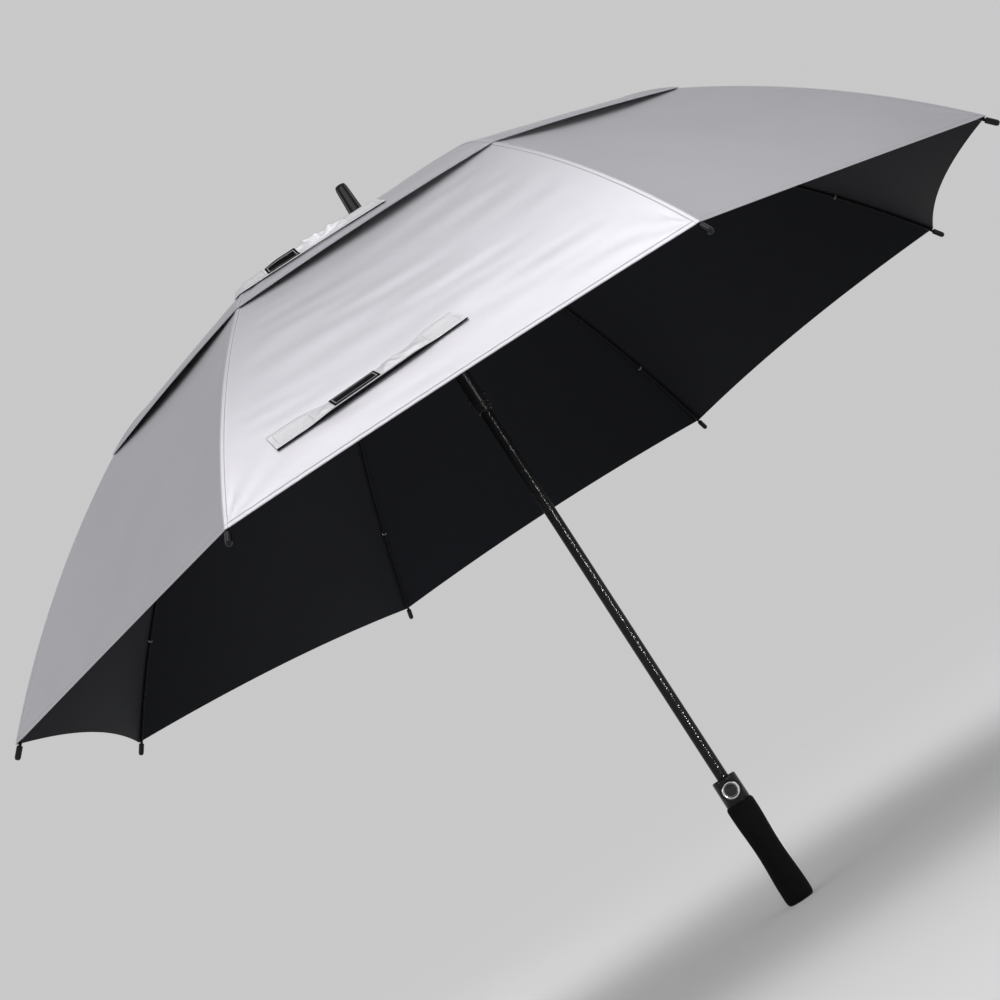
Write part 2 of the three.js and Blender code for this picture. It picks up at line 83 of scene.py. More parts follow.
RIBS = 8
PANEL = 2 * math.pi / RIBS
HALF_PANEL = PANEL / 2
FIRST_RIB = math.radians(247.5)
TIP_RADIUS = 0.650
VENT_RADIUS = 0.400
LOWER_TOP_RADIUS = 0.326
CANOPY_INNER_RADIUS = 0.0082
CROWN_RADIUS = 0.012
CROWN_HEIGHT = 0.9341
CROWN_SLOPE = math.radians(13.1)
RIB_BENDS = ((0.330, math.radians(16.5)), (0.070, math.radians(33.8)), (0.347, math.radians(50.5)))
CROWN_LIFT = 0.0005
CROWN_LIFT_REACH = 0.030
SAG_ONSET = 2
CLOTH = 0.0006
RIB_BELOW_FABRIC = 0.0042
JOINT_DISTANCE = 0.330
INNER_ROD = 0.0018
OUTER_ROD = 0.0020
STRETCHER_ROD = 0.0016
CAP_LENGTH = 0.016


def rib_line(distance, offset=0.0):
    """(distance from the shaft axis, height, slope below level) along the line of the canopy over a rib."""
    distance = np.asarray(distance, float)
    r, z = np.full(distance.shape, CROWN_RADIUS), np.full(distance.shape, CROWN_HEIGHT)
    slope = np.full(distance.shape, CROWN_SLOPE)
    start, bent = 0.0, CROWN_SLOPE
    for n, (length, end) in enumerate(RIB_BENDS):
        nearest = -np.inf if n == 0 else 0.0
        farthest = np.inf if n == len(RIB_BENDS) - 1 else length
        radius = length / (end - bent)
        turn = np.clip(distance - start, nearest, farthest) / radius
        r = r + radius * (np.sin(bent + turn) - np.sin(bent))
        z = z + radius * (np.cos(bent + turn) - np.cos(bent))
        slope = slope + turn
        start, bent = start + length, end
    return r + offset * np.sin(slope), z + offset * np.cos(slope), slope


def distance_at(radius, offset=0.0):
    """The distance along the rib line at which it is this far from the shaft axis."""
    along = np.linspace(-CROWN_RADIUS, 2 * TIP_RADIUS, 20000)
    return float(np.interp(radius, rib_line(along, offset)[0], along))


TIP = distance_at(TIP_RADIUS)
VENT = distance_at(VENT_RADIUS)

LOWER = dict(hem=TIP, offset=0.0, hollow=0.015, sag=0.010, span=0.65, lift=0.0, seed=10)
UPPER = dict(hem=VENT, offset=0.0014, hollow=0.006, sag=0.0005, span=0.6, lift=0.0015, seed=30)

JOINTS = {j["name"]: j for j in frame["joints"]}


def joint_place(name):
    """(distance from the shaft axis, height) of a joint."""
    x, y, z = JOINTS[name]["pos_m"]
    return math.hypot(x, y), z


CROWN_PIVOT = joint_place("rib_1_fold")
RIB_JOINT = joint_place("rib_1_flex")
RUNNER_PIVOT = joint_place("runner_pivot")


def rib_azimuth(rib):
    return FIRST_RIB + (rib - 1) * PANEL


# ---- Materials ----

THREAD_PITCH = 0.00032
STITCH = 0.0032
STITCH_SHARE = 0.74
STITCH_ORIGIN = 1.0
STITCH_HALF_WIDTH = 0.00028


class Surface:
    """A material with one Principled shader, whose constant values are named in shader."""

    def __init__(self, name, **shader):
        self.material = bpy.data.materials.new(name)
        self.material.use_nodes = True
        self.tree = self.material.node_tree
        self.bsdf = self.tree.nodes["Principled BSDF"]
        for socket, value in shader.items():
            self.bsdf.inputs[socket.replace("_", " ")].default_value = value

    def link(self, value, socket):
        self.tree.links.new(value, self.bsdf.inputs[socket])

    def finish(self, colour, tone, rough, height, distance, strength):
        """Links the colour, a roughness that follows tone over the range rough, and raised detail."""
        bump = self.node("Bump", {"Height": height, "Distance": distance, "Strength": strength})
        self.link(colour, "Base Color")
        self.link(self.spread(tone, *rough), "Roughness")
        self.link(bump.outputs["Normal"], "Normal")
        return self.material

    def node(self, kind, inputs=(), **settings):
        """A new node with its settings, and its inputs linked or set."""
        made = self.tree.nodes.new("ShaderNode" + kind)
        for key, value in settings.items():
            setattr(made, key, value)
        for socket, value in dict(inputs).items():
            self.put(value, made.inputs[socket])
        return made

    def put(self, value, socket):
        if isinstance(value, bpy.types.NodeSocket):
            self.tree.links.new(value, socket)
        else:
            socket.default_value = value

    def calc(self, operation, *values):
        """The output of a Math node."""
        return self.node("Math", dict(enumerate(values)), operation=operation).outputs[0]

    plus = partialmethod(calc, "ADD")
    minus = partialmethod(calc, "SUBTRACT")
    times = partialmethod(calc, "MULTIPLY")
    over = partialmethod(calc, "DIVIDE")
    above = partialmethod(calc, "GREATER_THAN")
    below = partialmethod(calc, "LESS_THAN")
    size = partialmethod(calc, "ABSOLUTE")

    def most(self, first, *others):
        for other in others:
            first = self.calc("MAXIMUM", first, other)
        return first

    def noise(self, place, scale, detail):
        return self.node("TexNoise", {"Vector": place, "Scale": scale, "Detail": detail}).outputs["Fac"]

    def cells(self, place, scale):
        return self.node("TexVoronoi", {"Vector": place, "Scale": scale}).outputs["Distance"]

    def object_place(self):
        return self.node("TexCoord").outputs["Object"]

    def cloth_place(self):
        """The place on a cloth piece, and its distances in metres from the seam and from the hem."""
        uv = self.node("UVMap", uv_map="cloth").outputs["UV"]
        split = self.node("SeparateXYZ", {"Vector": uv})
        return uv, split.outputs["X"], split.outputs["Y"]

    def spread(self, value, low, high):
        """value from 0 to 1, brought to the range from low to high."""
        return self.node("MapRange", {"Value": value, "To Min": low, "To Max": high}).outputs["Result"]

    def shade(self, value, dark, light):
        """A colour between dark and light."""
        made = self.node("ValToRGB", {"Fac": value})
        made.color_ramp.elements[0].color = (*dark, 1)
        made.color_ramp.elements[1].color = (*light, 1)
        return made.outputs["Color"]

    def blend(self, share, first, second):
        """The colour first, turning into the colour second as share goes from 0 to 1."""
        made = self.node("Mix", {"Factor": share}, data_type="RGBA")
        for socket, colour in (("A", first), ("B", second)):
            self.put(colour, next(s for s in made.inputs if s.name == socket and s.type == "RGBA"))
        return next(s for s in made.outputs if s.type == "RGBA")

    def weave(self, across, along):
        """The height, 0 to 1, of a plain weave."""
        turns = (self.times(place, 2 * math.pi / THREAD_PITCH) for place in (across, along))
        warp, weft = (self.calc("SINE", turn) for turn in turns)
        return self.spread(self.times(warp, weft), 0.0, 1.0)

    def line(self, value, place, half_width):
        """1 where value is within half_width of place, and 0 elsewhere."""
        return self.below(self.size(self.minus(value, place)), half_width)

    def stitches(self, across, row, along):
        """1 on the threads of a stitched row that runs where across is row, and 0 elsewhere."""
        step = self.calc("FRACT", self.over(self.plus(along, STITCH_ORIGIN), STITCH))
        return self.times(self.line(across, row, STITCH_HALF_WIDTH), self.below(step, STITCH_SHARE))


SEAM_HALF_WIDTH = 0.0038
HEM_WIDTH = 0.0048
GROOVE_SHADE_HALF_WIDTH = 0.00035
SEAM_STITCH_ROWS = (0.0010, 0.0029)
HEM_STITCH_ROW = 0.0036


def silver_cloth():
    """Silver-coated cloth with a weave, stitched rows, and painted shade in thin dark lines beside its seams
    and hem, where grooves would be.
    """
    made = Surface("silver_cloth", Metallic=0.85, Specular_IOR_Level=0.4, Specular_Tint=(0.62, 0.62, 0.64, 1))
    uv, across, along = made.cloth_place()
    stitched = made.most(*(made.stitches(across, row, along) for row in SEAM_STITCH_ROWS),
                         made.stitches(along, HEM_STITCH_ROW, across))
    # Painted shade: the dark lines beside the seam and the hem stand for the shade in grooves, which the
    # height doesn't have.
    painted_groove_shade = made.most(made.line(across, SEAM_HALF_WIDTH, GROOVE_SHADE_HALF_WIDTH),
                       made.line(along, HEM_WIDTH, GROOVE_SHADE_HALF_WIDTH))
    cloudy = made.noise(made.object_place(), 9.0, 4.0)
    fine = made.noise(uv, 900.0, 2.0)
    tone = made.plus(made.times(cloudy, 0.7), made.times(fine, 0.3))
    colour = made.shade(tone, (0.60, 0.59, 0.625), (0.70, 0.69, 0.73))
    colour = made.blend(made.times(painted_groove_shade, 0.4), colour, (0.10, 0.10, 0.11, 1))
    colour = made.blend(made.times(stitched, 0.5), colour, (0.86, 0.86, 0.89, 1))
    height = made.plus(made.times(made.weave(across, along), 0.10), stitched)
    return made.finish(colour, fine, (0.36, 0.46), height, 0.00025, 0.6)


def black_lining():
    made = Surface("black_lining", Specular_IOR_Level=0.07, Sheen_Weight=0.03)
    uv, across, along = made.cloth_place()
    fine = made.noise(uv, 700.0, 3.0)
    colour = made.shade(fine, (0.0058, 0.0062, 0.0082), (0.0115, 0.0124, 0.0162))
    return made.finish(colour, fine, (0.55, 0.72), made.weave(across, along), 0.00008, 0.5)


STRAP_HALF_WIDTH = 0.013
STRAP_EDGE_ROW = 0.0016
PATCH_HALF_WIDTH = 0.0085
PATCH_START = 0.0045
PATCH_END = 0.0400


def strap_cloth():
    """The canopy's cloth, doubled, with stitched edges and a stitched patch at each end. Its colour is
    painted lighter than the canopy's, as painted light over the whole strap.
    """
    made = Surface("strap_cloth", Metallic=0.75, Specular_IOR_Level=0.4)
    uv, across, along = made.cloth_place()
    away = made.size(across)
    on_patch = made.below(away, PATCH_HALF_WIDTH + STITCH_HALF_WIDTH)
    beside = made.times(made.above(along, PATCH_START), made.below(along, PATCH_END))
    edge = made.stitches(away, STRAP_HALF_WIDTH - STRAP_EDGE_ROW, along)
    side = made.times(made.stitches(away, PATCH_HALF_WIDTH, along), beside)
    ends = (made.times(made.stitches(along, end, across), on_patch) for end in (PATCH_START, PATCH_END))
    stitched = made.most(edge, side, *ends)
    cloudy = made.noise(uv, 160.0, 4.0)
    fine = made.noise(uv, 900.0, 2.0)
    # Painted light: these tones are lighter than the canopy cloth's, to brighten the strap as a whole.
    plain = made.shade(cloudy, (0.64, 0.635, 0.66), (0.82, 0.815, 0.84))
    colour = made.blend(made.times(stitched, 0.7), plain, (0.22, 0.22, 0.24, 1))
    height = made.plus(made.times(made.weave(across, along), 0.15), stitched)
    height = made.plus(height, made.times(cloudy, 1.5))
    return made.finish(colour, fine, (0.36, 0.48), height, 0.0003, 0.7)


LABEL_HALF_WIDTH = 0.0082
LABEL_BORDER = 0.0026
LABEL_LINE = 0.0008


def label_cloth():
    """Black woven ribbon with a plain light line round its border, and nothing written on it."""
    made = Surface("label_cloth", Specular_IOR_Level=0.03)
    uv, across, along = made.cloth_place()
    from_side = made.minus(LABEL_HALF_WIDTH, made.size(across))
    line = made.line(made.calc("MINIMUM", from_side, along), LABEL_BORDER, LABEL_LINE / 2)
    fine = made.noise(uv, 1400.0, 3.0)
    plain = made.shade(fine, (0.003, 0.003, 0.004), (0.008, 0.008, 0.009))
    colour = made.blend(line, plain, (0.42, 0.42, 0.44, 1))
    return made.finish(colour, fine, (0.55, 0.75), made.plus(made.weave(across, along), line), 0.00012, 0.7)


def plastic(name, dark, light, rough, grain, depth, **shader):
    """Moulded plastic with a fine grain."""
    made = Surface(name, **shader)
    place = made.object_place()
    large = made.noise(place, 60.0, 4.0)
    fine = made.noise(place, grain, 3.0)
    return made.finish(made.shade(large, dark, light), large, rough, fine, depth, 0.5)


def foam():
    made = Surface("foam", Specular_IOR_Level=0.05, Sheen_Weight=0.02)
    place = made.object_place()
    cells = made.cells(place, 1100.0)
    cloudy = made.noise(place, 90.0, 4.0)
    colour = made.shade(cloudy, (0.003,) * 3, (0.007,) * 3)
    return made.finish(colour, cloudy, (0.78, 0.92), made.plus(cells, cloudy), 0.00018, 0.7)


def shaft_coat():
    """Hard black paint over a fine raised pattern that beads the light along the tube."""
    made = Surface("shaft_coat", Specular_IOR_Level=0.2)
    place = made.object_place()
    pattern = made.cells(place, 420.0)
    cloudy = made.noise(place, 200.0, 3.0)
    colour = made.shade(cloudy, (0.004, 0.004, 0.004), (0.009, 0.009, 0.010))
    return made.finish(colour, cloudy, (0.12, 0.22), pattern, 0.0004, 0.6)


def metal(name, tone, rough, brushed, depth):
    """Plated metal with fine marks along Z."""
    made = Surface(name, Metallic=1.0)
    stretched = made.node("Mapping", {"Vector": made.object_place(), "Scale": (1.0, 1.0, 0.08)})
    marks = made.noise(stretched.outputs["Vector"], brushed, 4.0)
    dark = tuple(0.8 * c for c in tone)
    return made.finish(made.shade(marks, dark, tone), marks, rough, marks, depth, 0.3)


SILVER = silver_cloth()
LINING = black_lining()
STRAP_CLOTH = strap_cloth()
LABEL_CLOTH = label_cloth()
GLOSS_BLACK = plastic("gloss_black", (0.005, 0.005, 0.006), (0.010, 0.010, 0.011), (0.10, 0.18),
                      1800.0, 0.00002, Specular_IOR_Level=0.22)
DISH_BLACK = plastic("dish_black", (0.006, 0.006, 0.007), (0.010, 0.010, 0.012), (0.06, 0.12),
                     900.0, 0.00001)
SATIN_BLACK = plastic("satin_black", (0.004, 0.004, 0.004), (0.009, 0.009, 0.010), (0.30, 0.42),
                      2600.0, 0.00006, Specular_IOR_Level=0.15)
RIB_BLACK = plastic("rib_black", (0.003, 0.003, 0.003), (0.007, 0.007, 0.008), (0.20, 0.32),
                    900.0, 0.00008, Specular_IOR_Level=0.12)
THREAD = plastic("thread", (0.30, 0.30, 0.31), (0.42, 0.42, 0.43), (0.6, 0.8), 3000.0, 0.00005)
SHAFT_COAT = shaft_coat()
FOAM = foam()
CHROME = metal("chrome", (0.86, 0.86, 0.88), (0.05, 0.12), 300.0, 0.000004)
STEEL = metal("spring_steel", (0.55, 0.55, 0.56), (0.22, 0.38), 900.0, 0.00001)

# ---- Mesh building ----


def mesh_piece(name, points, faces, materials, face_slots=None, uv=None):
    """A smooth-shaded object from arrays of points and corner numbers."""
    mesh = bpy.data.meshes.new(name)
    mesh.from_pydata([tuple(p) for p in points], [], [tuple(f) for f in faces])
    for one in materials:
        mesh.materials.append(one)
    if face_slots is not None:
        mesh.polygons.foreach_set("material_index", np.asarray(face_slots, np.int32))
    if uv is not None:
        corners = np.zeros(len(mesh.loops), np.int32)
        mesh.loops.foreach_get("vertex_index", corners)
        layer = mesh.uv_layers.new(name="cloth")
        layer.data.foreach_set("uv", np.asarray(uv, np.float32)[corners].ravel())
    mesh.polygons.foreach_set("use_smooth", np.ones(len(mesh.polygons), bool))
    mesh.update()
    made = bpy.data.objects.new(name, mesh)
    scene.collection.objects.link(made)
    return made


def crisp(piece, degrees=35):
    """Keeps edges sharper than this angle."""
    piece.data.set_sharp_from_angle(angle=math.radians(degrees))
    return piece


def volume_of(points, faces):
    """The volume in a closed shell, negative where its faces look inwards."""
    total = 0.0
    for k in range(1, faces.shape[1] - 1):
        a, b, c = points[faces[:, 0]], points[faces[:, k]], points[faces[:, k + 1]]
        total += float((a * np.cross(b, c)).sum()) / 6
    return total


def slab_piece(name, outer, inner, uv, materials, last_edge=0):
    """A sheet between two grids of points, at the places uv of the cloth. Slots: outer 0, inner 1, rim 0.

    last_edge is the slot of the rim along the grids' last column.
    """
    rows, columns = outer.shape[:2]
    index = np.arange(rows * columns).reshape(rows, columns)
    corner = index[:-1, :-1].ravel()
    top = np.stack([corner, corner + columns, corner + columns + 1, corner + 1], -1)
    loop = np.concatenate([index[:-1, 0], index[-1, :-1], index[:0:-1, -1], index[0, :0:-1]])
    after = np.roll(loop, -1)
    rim = np.stack([after, loop, loop + index.size, after + index.size], -1)
    faces = np.concatenate([top, top[:, ::-1] + index.size, rim])
    slots = np.repeat([0, 1, 0], [len(top), len(top), len(rim)])
    first = 2 * len(top) + rows + columns - 2
    slots[first:first + rows - 1] = last_edge
    points = np.concatenate([outer.reshape(-1, 3), inner.reshape(-1, 3)])
    if volume_of(points, faces) < 0:
        faces = faces[:, ::-1]
    place = np.concatenate([uv.reshape(-1, 2)] * 2)
    return crisp(mesh_piece(name, points, faces, materials, slots, place), 60)


def stand_in(piece, body, cad):
    """Lets a piece move with a body in place of a CAD node."""
    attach(piece, body)
    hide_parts(cad)


# ---- Canopy ----


def panel_point(distance, side, layer):
    """The canopy's smooth outer face. side is -1 and 1 on the panel's ribs, and x is its middle line."""
    across = 1 - side**2
    down = np.maximum(distance / layer["hem"], 0)
    r, z, slope = rib_line(distance - layer["hollow"] * across * down**6, layer["offset"])
    crown = CROWN_LIFT * np.exp(-(((r - CROWN_RADIUS) / CROWN_LIFT_REACH) ** 2))
    hang = layer["sag"] * np.sin(math.pi * down**SAG_ONSET * layer["span"])
    sag = across * (hang - layer["lift"] * down**4)
    x = r * math.cos(HALF_PANEL) - sag * np.sin(slope)
    return np.stack([x, side * r * math.sin(HALF_PANEL), z + crown - sag * np.cos(slope)], -1)


def panel_normal(distance, side, layer, step=1e-4):
    """Outward unit normals of panel_point."""
    down = panel_point(distance + step, side, layer) - panel_point(distance - step, side, layer)
    across = panel_point(distance, side + step, layer) - panel_point(distance, side - step, layer)
    normal = np.cross(down, across)
    return normal / np.linalg.norm(normal, axis=-1, keepdims=True)


def turned_about_z(points, angle):
    c, s = np.cos(angle), np.sin(angle)
    x, y, z = np.moveaxis(points, -1, 0)
    return np.stack([x * c - y * s, x * s + y * c, z], -1)


def in_rib_plane(shell, rib):
    """A shell that was made over +X, at a rib."""
    points, faces = shell
    return turned_about_z(points, rib_azimuth(rib)), faces


def smooth_step(x):
    """0 below 0, 1 above 1, and a smooth rise between."""
    t = np.clip(x, 0, 1)
    return t * t * (3 - 2 * t)


WELT = 0.0005
WELT_EASE = 0.0006
FULL_SEAM_WIDTH = 0.024
PUCKERS = dict(height=0.00022, pitch=0.0125, reach=0.009)
RIPPLES = dict(height=0.00018, pitch=0.0150, reach=0.008)
RAYS = 11
RAY_HEIGHT = 0.0011
RAY_REACH = 0.018
RAY_CLEAR = 0.005
CALM_BY_SEAM, CALM_BY_HEM = 0.05, 0.03
FOLDS = 7
FOLD_STEEPNESS = 0.0026
FOLD_PATCH = (0.21, 0.27)


def soft_folds(across, along, seed):
    """Broad faint folds that run across a panel, in metres of height."""
    random = np.random.default_rng(seed)
    height = np.zeros_like(along)
    for _ in range(FOLDS):
        pitch_along = random.uniform(0.020, 0.055)
        pitch_across = random.uniform(0.16, 0.5) * random.choice([-1, 1])
        phase, slow = random.uniform(0, 2 * math.pi, 2)
        wave = np.sin(2 * math.pi * (along / pitch_along + across / pitch_across) + phase)
        patch = np.sin(2 * math.pi * (along / FOLD_PATCH[0] + across / FOLD_PATCH[1]) + slow)
        height += wave * (0.5 + 0.5 * patch) ** 2 * pitch_along
    return height * FOLD_STEEPNESS


def edge_waves(along, away, phase, height, pitch, reach):
    """Height of small waves along an edge, lower the farther away."""
    return height * np.sin(2 * math.pi * along / pitch + phase) * np.exp(-away / reach)


def relief(from_seam, from_hem, across, width, seed):
    """Height of seam, hem, puckers, the corner's rays and folds over the smooth cloth."""
    scale = np.minimum(1.0, width / FULL_SEAM_WIDTH)
    seam = SEAM_HALF_WIDTH * scale
    welt = WELT * scale * (1 - smooth_step((from_seam - seam) / WELT_EASE))
    hem = WELT * (1 - smooth_step((from_hem - HEM_WIDTH) / WELT_EASE))
    beside = np.maximum(from_seam - seam, 0)
    above = np.maximum(from_hem - HEM_WIDTH, 0)
    pucker = edge_waves(from_hem, beside, seed, **PUCKERS) * smooth_step(beside / 0.002) * scale
    ripple = edge_waves(across, above, 2 * seed, **RIPPLES) * smooth_step(from_seam / 0.02)
    from_corner = np.hypot(from_seam, from_hem)
    rays = RAY_HEIGHT * np.sin(RAYS * np.arctan2(from_hem, from_seam) + seed) * from_corner / RAY_REACH
    rays = rays * np.exp(-from_corner / RAY_REACH)
    rays = rays * smooth_step(beside / RAY_CLEAR) * smooth_step(above / RAY_CLEAR)
    calm = smooth_step(beside / CALM_BY_SEAM) * smooth_step((from_hem - 0.004) / CALM_BY_HEM)
    return np.maximum(welt, hem) + pucker + ripple + rays + calm * soft_folds(across, from_hem, seed)


STRIP_HALF_WIDTH = 0.011
STRIP_SHARE = 0.8
STRIP_EASE = 0.002
SEAM_COLUMNS = np.array([0, 0.0012, 0.0025, 0.0036, 0.0042, 0.0048, 0.0062, 0.0085, 0.011]) / STRIP_HALF_WIDTH
HEM_ROWS = np.array([0, 0.0012, 0.0030, 0.0045, 0.0050, 0.0055, 0.0070, 0.0095, 0.013])
PANEL_COLUMNS = np.linspace(0, 1, 30) ** 1.1


def half_panel_width(layer, distance):
    return rib_line(distance, layer["offset"])[0] * math.sin(HALF_PANEL)


def strip_half_width(width):
    """Half the seam strip, narrower near the crown, where the panels are."""
    limit = STRIP_SHARE * width
    return -STRIP_EASE * np.log(np.exp(-STRIP_HALF_WIDTH / STRIP_EASE) + np.exp(-limit / STRIP_EASE))


def rows_down(layer, top, bottom, step=0.0055):
    """Distances along the rib line from top to bottom, closer together on a hem."""
    if bottom < layer["hem"]:
        return np.linspace(top, bottom, max(2, round((bottom - top) / step)) + 1)
    hem = layer["hem"] - HEM_ROWS[::-1]
    count = max(2, round((hem[0] - top) / step))
    return np.concatenate([np.linspace(top, hem[0], count + 1)[:-1], hem])


def cloth_grid(layer, rows, from_seam, rib, towards):
    """Outer and inner points and cloth places of a grid beside a rib, on the side towards (1 or -1)."""
    distance = np.repeat(rows[:, None], from_seam.shape[1], 1)
    slope = rib_line(distance, layer["offset"])[2]
    wide = half_panel_width(layer, distance)
    side = -towards * (1 - from_seam / wide)
    from_hem = layer["hem"] - distance
    surface = panel_point(distance, side, layer)
    normal = panel_normal(distance, side, layer)
    level = np.sin(slope)
    at_rib = -towards * HALF_PANEL
    plane = np.stack([level * math.cos(at_rib), level * math.sin(at_rib), np.cos(slope)], -1)
    seam = SEAM_HALF_WIDTH * np.minimum(1, wide / FULL_SEAM_WIDTH)
    share = (1 - smooth_step(from_seam / seam))[..., None]
    normal = normal * (1 - share) + plane * share
    normal = normal / np.linalg.norm(normal, axis=-1, keepdims=True)
    panel = rib - 1 if towards > 0 else rib - 2
    height = relief(from_seam, from_hem, side * wide, wide, layer["seed"] + panel % RIBS)
    middle = FIRST_RIB + HALF_PANEL + PANEL * panel
    outer = turned_about_z(surface + normal * height[..., None], middle)
    inner = turned_about_z(surface - normal * CLOTH, middle)
    return outer, inner, np.stack([from_seam, from_hem], -1)


def half_panel(name, layer, top, bottom, rib, towards):
    """The cloth between a rib's seam strip and the middle of the panel on one side of it."""
    rows = rows_down(layer, top, bottom)
    width = half_panel_width(layer, rows)[:, None]
    start = strip_half_width(width)
    from_seam = start + (width - start) * PANEL_COLUMNS
    return slab_piece(name, *cloth_grid(layer, rows, from_seam, rib, towards), (SILVER, LINING))


def seam_strip(name, layer, top, bottom, rib):
    """The double-stitched seam over a rib, with a little cloth on both sides."""
    rows = rows_down(layer, top, bottom)
    from_seam = strip_half_width(half_panel_width(layer, rows))[:, None] * SEAM_COLUMNS
    grids = [cloth_grid(layer, rows, from_seam, rib, towards) for towards in (-1, 1)]
    outer, inner, place = (np.concatenate([a[:, :0:-1], b], 1) for a, b in zip(*grids))
    return slab_piece(name, outer, inner, place, (SILVER, LINING))


LAYER_STAND_OFF = 0.0015


def fold_in(piece):
    """Gives a half panel, or what lies on it, its own copy of its mesh."""
    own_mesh(piece)


CROWN_EDGE = distance_at(CANOPY_INNER_RADIUS, UPPER["offset"])
LOWER_TOP = distance_at(LOWER_TOP_RADIUS)

# name, layer, top and bottom, whether it goes with the outer rib, CAD node, stand-off when folded
CLOTHS = (
    ("top", UPPER, CROWN_EDGE, JOINT_DISTANCE, False, "canopy_top", 0.0),
    ("skirt", UPPER, JOINT_DISTANCE, VENT, True, "canopy_top", LAYER_STAND_OFF),
    ("lower", LOWER, LOWER_TOP, TIP, True, "canopy_lower", 0.0),
)


def build_canopy(rib):
    for name, layer, top, bottom, outer, cad, stand_off in CLOTHS:
        body, rod = (f"rib_end_{rib}", f"rib_outer_{rib}") if outer else (f"rib_{rib}", f"rib_inner_{rib}")
        for towards, hand in ((-1, "right"), (1, "left")):
            piece = half_panel(f"canopy_{name}_{rib}_{hand}", layer, top, bottom, rib, towards)
            stand_in(piece, body, f"{cad}_{rib}")
            fold_in(piece)
        strip = seam_strip(f"seam_{name}_{rib}", layer, top, bottom, rib)
        stand_in(strip, body, f"{cad}_{rib}")


for rib_number in range(1, RIBS + 1):
    build_canopy(rib_number)

# ---- Closing straps ----

STRAP_THICKNESS = 0.0012
LABEL_THICKNESS = 0.0005
LABEL_GAP = 0.0001
STRAP_COLUMNS = np.linspace(-1, 1, 19)
STRAP_GATHER = 0.0090
END_SKEW = 0.0045
LABEL_SHIFT = 0.0036
PLAIN_END = 0.030
ROUND_EDGE = 0.12
CREASES = 7
CREASE_REACH = 0.035
CREASE_STEEPNESS = 0.075
CREASE_FREE_END = 0.036
STRAP_OFF_PLEAT = 0.0008
LABEL_OFF_PLEAT = 0.0012

# ends: distance along the rib line and turn from the front's middle. stand: height over the cloth.
# lift: rise of the lower edge, or of the upper edge where negative. label: its span, in shares of the length.
# part: share of the length before the pleat. on: the piece under the strap.
STRAPS = (
    dict(name="strap_low", layer=LOWER, ends=((0.678, math.radians(-17.7)), (0.663, math.radians(3.0))),
         stand=0.0006, lift=0.0030, label=(0.295, 0.535), part=0.0, seed=3, on="canopy_lower_1_left"),
    dict(name="strap_top", layer=UPPER, ends=((0.362, math.radians(-25.0)), (0.374, math.radians(4.4))),
         stand=0.0010, lift=-0.0080, label=(0.235, 0.440), part=0.14, seed=8, on="canopy_skirt_1_left"),
)


def canopy_surface(distance, turn, layer):
    """(point, outward normal) of the canopy, by distance and turn about the shaft from the front's middle."""
    panel = np.round(turn / PANEL)
    local = turn - panel * PANEL
    side = np.tan(local) / math.tan(HALF_PANEL)
    point, normal = panel_point(distance, side, layer), panel_normal(distance, side, layer)
    around = panel * PANEL - math.pi / 2
    return turned_about_z(point, around), turned_about_z(normal, around)


def strap_line(strap, share, across=0.0):
    """(distance along the rib line, turn) at a share of the strap's length. across shifts the turn alone."""
    (start, first_turn), (end, last_turn) = strap["ends"]
    return start + (end - start) * share, first_turn + (last_turn - first_turn) * (share + across)


def strap_length(strap):
    point = canopy_surface(*strap_line(strap, np.linspace(0, 1, 60)), strap["layer"])[0]
    return float(np.linalg.norm(np.diff(point, axis=0), axis=-1).sum())


def between_ends(along, length, clear, ease):
    """0 up to clear from both ends, and 1 from ease farther in."""
    return smooth_step((along - clear) / ease) * smooth_step((length - clear - along) / ease)


def crumple(strap, along, down, length):
    """Height of a strap's creases, which lie off its patches, its label and its lower edge."""
    random = np.random.default_rng(strap["seed"])
    height = np.zeros_like(along)
    for _ in range(CREASES):
        pitch = random.uniform(0.012, 0.030)
        lean = random.uniform(-1.4, 1.4)
        phase, place = random.uniform(0, math.pi), random.uniform(0.15, 0.85) * length
        ridge = 1 - np.abs(np.sin(math.pi * (along + lean * down) / pitch + phase))
        height += ridge * np.exp(-(((along - place) / CREASE_REACH) ** 2)) * pitch
    start, end = strap["label"]
    middle, half = (start + end) / 2 * length, (end - start) / 2 * length
    height *= smooth_step((np.abs(along - middle) - half) / 0.012)
    height *= between_ends(along, length, CREASE_FREE_END, 0.02)
    return height * smooth_step((0.95 - down / STRAP_HALF_WIDTH) / 0.7) * CREASE_STEEPNESS


